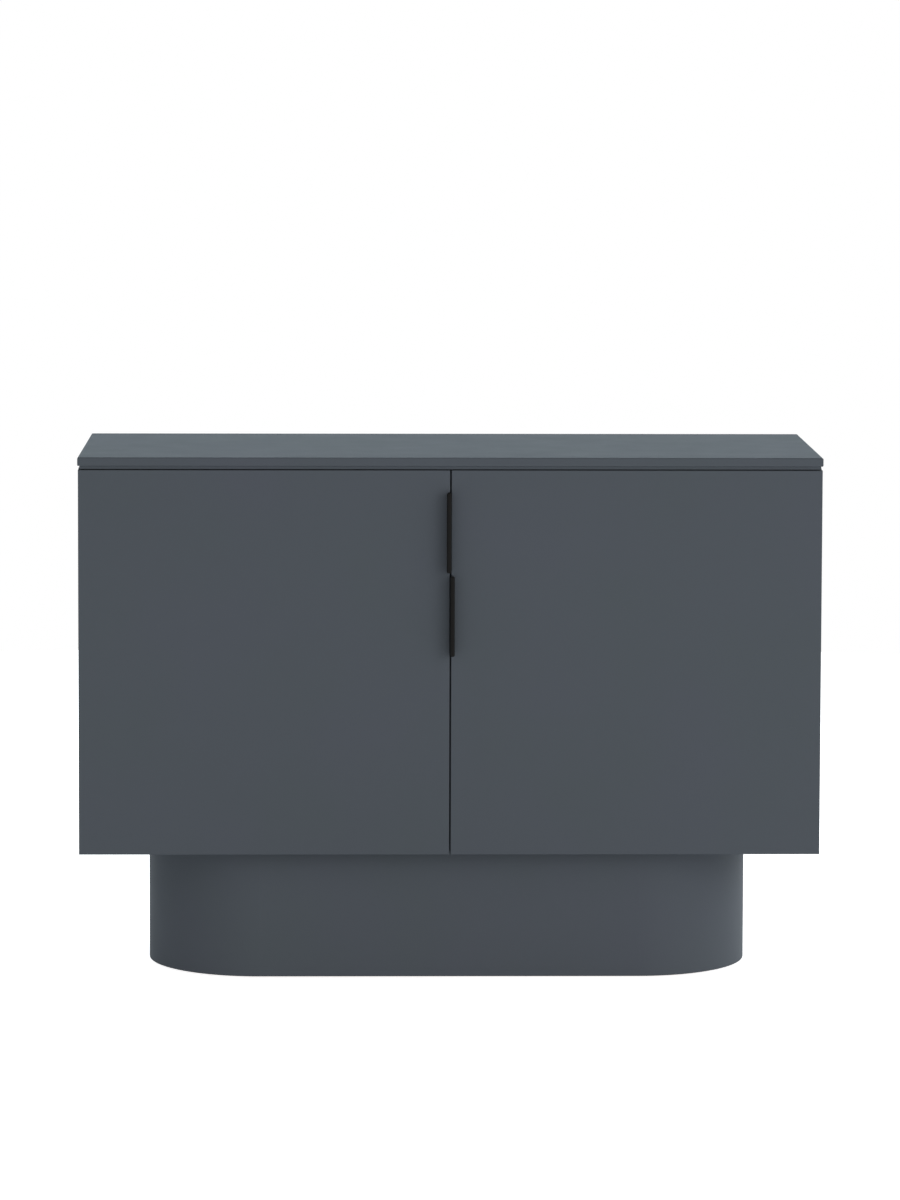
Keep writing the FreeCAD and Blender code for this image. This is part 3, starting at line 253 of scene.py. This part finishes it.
def black_anodised(name):
    """Black anodised aluminium with fine drawn lines along its length."""
    material, tree, shader = new_material(name)
    lines = noise_of(tree, places(tree, (1, 1, 0.02)), 0.25 * MM, 3, 0.6)
    patches = noise_of(tree, places(tree), 0.02, 3)
    vary_colour(tree, shader, remap(tree, patches, 0, 1), (0.0036, 0.0034, 0.0031), 0.12)
    uneven = maths(tree, "ADD", remap(tree, lines, 0.0, 0.07), remap(tree, patches, 0.26, 0.3))
    tree.links.new(uneven, shader.inputs["Roughness"])
    tree.links.new(bump(tree, lines, 0.006 * MM), shader.inputs["Normal"])
    shader.inputs["Specular IOR Level"].default_value = 0.12
    return material


def metal(name, colour, tone, gloss, lines, line_size, line_depth, patch_size):
    """A bare or plated metal: uneven tone, gloss between two roughnesses and fine tool lines."""
    material, tree, shader = new_material(name)
    patches = noise_of(tree, places(tree), patch_size, 4, 0.6)
    streaks = noise_of(tree, places(tree, lines), line_size, 3, 0.6)
    warm = tuple(channel * scale for channel, scale in zip(colour, (1.03, 1.0, 0.95)))
    tinted = between(tree, remap(tree, patches, 0, 1), shaded(colour, 1 - tone), warm)
    tree.links.new(tinted, shader.inputs["Base Color"])
    low, high = gloss
    dull = maths(tree, "ADD", remap(tree, patches, low, high), remap(tree, streaks, 0, 0.06))
    tree.links.new(dull, shader.inputs["Roughness"])
    tree.links.new(bump(tree, streaks, line_depth), shader.inputs["Normal"])
    shader.inputs["Metallic"].default_value = 1.0
    return material


def zinc_casting(name):
    return metal(name, (0.5, 0.51, 0.52), 0.16, (0.38, 0.52), (1, 1, 1), 0.5 * MM, 0.03 * MM, 3 * MM)


def zinc_steel(name):
    return metal(name, (0.6, 0.61, 0.63), 0.12, (0.26, 0.38), (1, 1, 4), 0.4 * MM, 0.012 * MM, 4 * MM)


def hinge_steel(name):
    return metal(name, (0.64, 0.63, 0.61), 0.06, (0.34, 0.44), (0.08, 1, 1), 0.3 * MM, 0.006 * MM, 9 * MM)


def hinge_pin_steel(name):
    return metal(name, (0.66, 0.66, 0.66), 0.05, (0.12, 0.2), (1, 1, 12), 0.5 * MM, 0.004 * MM, 2 * MM)


def clear_bumper(name):
    """Soft clear polyurethane, faintly dusty."""
    material, tree, shader = new_material(name)
    dust = noise_of(tree, places(tree), 0.9 * MM, 4, 0.7)
    vary_colour(tree, shader, remap(tree, dust, 0, 1), (0.8, 0.81, 0.81), 0.06)
    tree.links.new(remap(tree, dust, 0.12, 0.26), shader.inputs["Roughness"])
    tree.links.new(bump(tree, dust, 0.01 * MM), shader.inputs["Normal"])
    shader.inputs["Transmission Weight"].default_value = 0.8
    shader.inputs["IOR"].default_value = 1.48
    return material


MAKERS = {
    "dark_lacquered_board": lacquer,
    "back_hardboard": painted_hardboard,
    "raw_board": raw_fibreboard,
    "beech": beech,
    "felt": felt,
    "black_anodised": black_anodised,
    "zinc_casting": zinc_casting,
    "zinc_steel": zinc_steel,
    "hinge_steel": hinge_steel,
    "hinge_pin_steel": hinge_pin_steel,
    "clear_bumper": clear_bumper,
}


def make_materials():
    return {slot: make(f"{slot}_look") for slot, make in MAKERS.items()}


def dress_cad_nodes(materials):
    """Every CAD node gets the finish of its slot."""
    for part in frame["record"]["subparts"]:
        node = frame["nodes"][part["node"]]
        for slot in node.material_slots:
            slot.material = materials[part["material_slot"]]


# ---------------------------------------------------------------- softened edges

def soften(node, width, segments=3):
    """Rounds the sharp edges that the CAD model leaves."""
    weld = node.modifiers.new("weld", "WELD")
    weld.merge_threshold = WELD_DISTANCE
    edge = node.modifiers.new("soft_edges", "BEVEL")
    edge.width = width
    edge.segments = segments
    edge.limit_method = "ANGLE"
    edge.angle_limit = math.radians(SHARP_ANGLE)
    edge.harden_normals = True


# ---------------------------------------------------------------- new pieces

def piece_from(name, mesh, material, body, node):
    """Makes a bmesh into a piece that stands for a CAD node."""
    data = bpy.data.meshes.new(name)
    mesh.to_mesh(data)
    mesh.free()
    for face in data.polygons:
        face.use_smooth = True
    piece = bpy.data.objects.new(name, data)
    bpy.context.scene.collection.objects.link(piece)
    data.materials.append(material)
    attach(piece, body)
    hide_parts(node)


def turned(mesh, profile, middle, axis, spokes=40):
    """Adds a closed solid of revolution; the profile gives (radius, height) from its first end on."""
    turn = Vector((0, 0, 1)).rotation_difference(axis).to_matrix()
    rings = []
    for radius, height in profile:
        ring = []
        for spoke in range(spokes):
            angle = 2 * math.pi * spoke / spokes
            point = Vector((radius * math.cos(angle), radius * math.sin(angle), height))
            ring.append(mesh.verts.new(middle + turn @ point))
        rings.append(ring)
    for lower, upper in zip(rings, rings[1:]):
        for spoke in range(spokes):
            after = (spoke + 1) % spokes
            mesh.faces.new((lower[spoke], lower[after], upper[after], upper[spoke]))
    mesh.faces.new(reversed(rings[0]))
    mesh.faces.new(rings[-1])


def dome_profile(radius, height, steps=10):
    """A low rounded button: a short upright edge, then a dome."""
    profile = [(radius * 0.96, 0.0), (radius, height * 0.12)]
    for step in range(1, steps):
        angle = math.pi / 2 * step / steps
        profile.append((radius * math.cos(angle) ** 0.7, height * (0.12 + 0.88 * math.sin(angle))))
    return profile


def make_bumpers(side, material):
    """Two clear domed buttons behind each door, at its free edge."""
    node = f"door_bumpers_{side}"
    low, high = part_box(node)
    radius = (high.x - low.x) / 2
    mesh = bmesh.new()
    for z in (low.z + radius, high.z - radius):
        base = Vector((low.x + radius, low.y, z))
        turned(mesh, dome_profile(radius, high.y - low.y), base, Vector((0, 1, 0)))
    piece_from(f"bumpers_{side}", mesh, material, f"{side}_door", node)


def pad_profile(radius, height, steps=6):
    """A felt disc whose rims bulge softly."""
    profile = [(radius * 0.92, 0.0)]
    for step in range(1, steps):
        angle = math.pi * step / steps
        profile.append((radius * (0.96 + 0.04 * math.sin(angle)), height * (1 - math.cos(angle)) / 2))
    profile.append((radius * 0.94, height))
    return profile


def make_pad(mesh, middle, height):
    """One felt disc, a little uneven at its rim."""
    before = len(mesh.verts)
    turned(mesh, pad_profile(PAD_RADIUS, height), middle, Vector((0, 0, 1)), PAD_SPOKES)
    mesh.verts.ensure_lookup_table()
    for vertex in mesh.verts[before:]:
        outward = vertex.co - middle
        outward.z = 0
        wear = abs(noise.noise(vertex.co * PAD_BLOTCHES_PER_METRE)) * PAD_UNEVEN
        vertex.co -= outward.normalized() * wear


def evenly(first, last, count):
    """Places from first to last with equal steps between them."""
    return [first + (last - first) * step / (count - 1) for step in range(count)]


def make_felt_pads(material):
    """The felt discs under the plinth."""
    low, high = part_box("plinth_glides")
    mesh = bmesh.new()
    for x in evenly(low.x + PAD_RADIUS, high.x - PAD_RADIUS, PAD_COLUMNS):
        for y in evenly(low.y + PAD_RADIUS, high.y - PAD_RADIUS, PAD_ROWS):
            make_pad(mesh, Vector((x, y, low.z)), high.z - low.z)
    piece_from("felt_pads", mesh, material, "cabinet", "plinth_glides")


# ---------------------------------------------------------------- camera, light and floor

WHITE = (1, 1, 1)
COOL = (0.78, 0.93, 1)
ROOM_EVENLY = 0.25
ROOM_SIDES = {
    "right": ((1, 0, 0), WHITE, 0.92),
    "back": ((0, 1, 0), COOL, 1.7),
    "front": ((0, -1, 0), WHITE, 0.6),
}
SOFTBOXES = {
    "key": ((3.0, -3.0, 1.7), (0, -0.2, 0.55), (1.8, 1.8), 24.0),
    "rim": ((3.0, 1.8, 1.2), (0.4, 0, 0.2), (1.4, 1.4), 28.0),
}
FLOOR_GLOW = 0.36
FLOOR_LIFT = 0.5
FLOOR_RADIUS = 4.0
CAMERA_PLACE = (-0.1723, -7.97, 1.565)
CAMERA_YAW = -1.259
CAMERA_PITCH = 4.547
CAMERA_ROLL = -0.176
CAMERA_LENS = 145.4
CAMERA_SHIFT = -1 / 6


def make_camera():
    """A long lens from the front, slightly left and above, lowered a little by shift."""
    data = bpy.data.cameras.new("camera")
    data.lens = CAMERA_LENS
    data.sensor_width = 36
    data.shift_y = CAMERA_SHIFT
    data.clip_end = 100
    camera = bpy.data.objects.new("camera", data)
    bpy.context.scene.collection.objects.link(camera)
    yaw = math.radians(CAMERA_YAW)
    pitch = math.radians(CAMERA_PITCH)
    roll = math.radians(CAMERA_ROLL)
    turn = Matrix.Rotation(yaw, 3, "Z")
    level = Vector((1, 0, 0))
    sight = Vector((0, math.cos(pitch), -math.sin(pitch)))
    down = Vector((0, -math.sin(pitch), -math.cos(pitch)))
    right = math.cos(roll) * level + math.sin(roll) * down
    below = -math.sin(roll) * level + math.cos(roll) * down
    axes = Matrix((turn @ right, turn @ -below, turn @ -sight)).transposed()
    camera.matrix_world = Matrix.Translation(CAMERA_PLACE) @ axes.to_4x4()
    bpy.context.scene.camera = camera


def softbox(name, place, target, size, power):
    """A rectangular soft light that looks at its target."""
    data = bpy.data.lights.new(name, "AREA")
    data.shape = "RECTANGLE"
    data.size, data.size_y = size
    data.energy = power
    light = bpy.data.objects.new(name, data)
    bpy.context.scene.collection.objects.link(light)
    light.location = place
    light.rotation_euler = (Vector(target) - Vector(place)).to_track_quat("-Z", "Y").to_euler()
    light.visible_camera = False


def facing(tree, direction):
    """How much a direction of the room faces one of its six sides, 0 to 1."""
    node = tree.nodes.new("ShaderNodeVectorMath")
    node.operation = "DOT_PRODUCT"
    look = tree.nodes.new("ShaderNodeTexCoord")
    tree.links.new(look.outputs["Generated"], node.inputs[0])
    node.inputs[1].default_value = direction
    return maths(tree, "MAXIMUM", node.outputs["Value"], 0.0)


def background(tree, colour, strength):
    """Light from the room, with a fixed strength or one from an output."""
    node = tree.nodes.new("ShaderNodeBackground")
    node.inputs["Color"].default_value = (*colour, 1)
    if isinstance(strength, (int, float)):
        node.inputs["Strength"].default_value = strength
    else:
        tree.links.new(strength, node.inputs["Strength"])
    return node.outputs["Background"]


def make_world():
    """A white room for the eye. Its light is soft grey, set for each side of the room."""
    world = bpy.data.worlds.new("studio")
    bpy.context.scene.world = world
    world.use_nodes = True
    tree = world.node_tree
    tree.nodes.clear()
    light = background(tree, WHITE, ROOM_EVENLY)
    for direction, colour, amount in ROOM_SIDES.values():
        side = background(tree, colour, maths(tree, "MULTIPLY", facing(tree, direction), amount))
        both = tree.nodes.new("ShaderNodeAddShader")
        tree.links.new(light, both.inputs[0])
        tree.links.new(side, both.inputs[1])
        light = both.outputs["Shader"]
    rays = tree.nodes.new("ShaderNodeLightPath")
    chosen = tree.nodes.new("ShaderNodeMixShader")
    output = tree.nodes.new("ShaderNodeOutputWorld")
    tree.links.new(rays.outputs["Is Camera Ray"], chosen.inputs["Fac"])
    tree.links.new(light, chosen.inputs[1])
    tree.links.new(background(tree, WHITE, 1.0), chosen.inputs[2])
    tree.links.new(chosen.outputs["Shader"], output.inputs["Surface"])


def floor_material():
    """A plain pale studio floor, lifted to white for the eye as in a cut-out picture."""
    material, tree, shader = new_material("pale_floor")
    clouds = noise_of(tree, places(tree), 0.6, 3)
    vary_colour(tree, shader, remap(tree, clouds, 0, 1), (0.85, 0.85, 0.85), 0.01)
    tree.links.new(remap(tree, clouds, 0.7, 0.76), shader.inputs["Roughness"])
    shader.inputs["Emission Color"].default_value = (1, 1, 1, 1)
    rays = tree.nodes.new("ShaderNodeLightPath")
    lift = maths(tree, "MULTIPLY", rays.outputs["Is Camera Ray"], FLOOR_LIFT)
    tree.links.new(maths(tree, "ADD", lift, FLOOR_GLOW), shader.inputs["Emission Strength"])
    return material


def make_floor():
    """A round table top, wide enough for every view."""
    mesh = bmesh.new()
    bmesh.ops.create_circle(mesh, cap_ends=True, segments=96, radius=FLOOR_RADIUS)
    data = bpy.data.meshes.new("floor")
    mesh.to_mesh(data)
    mesh.free()
    data.materials.append(floor_material())
    floor = bpy.data.objects.new("floor", data)
    bpy.context.scene.collection.objects.link(floor)


def make_studio():
    make_world()
    make_floor()
    for name, (place, target, size, power) in SOFTBOXES.items():
        softbox(name, place, target, size, power)
    bpy.context.scene.view_settings.view_transform = "Standard"


# ---------------------------------------------------------------- the scene

def make_object():
    materials = make_materials()
    dress_cad_nodes(materials)
    for side in SIDES:
        make_bumpers(side, materials["clear_bumper"])
        soften(frame["nodes"][f"handle_{side}"], HANDLE_SOFTNESS)
        for part in HINGE_PARTS:
            soften(frame["nodes"][f"{part}_{side}"], HINGE_SOFTNESS, 2)
    make_felt_pads(materials["felt"])


make_object()
make_studio()
make_camera()
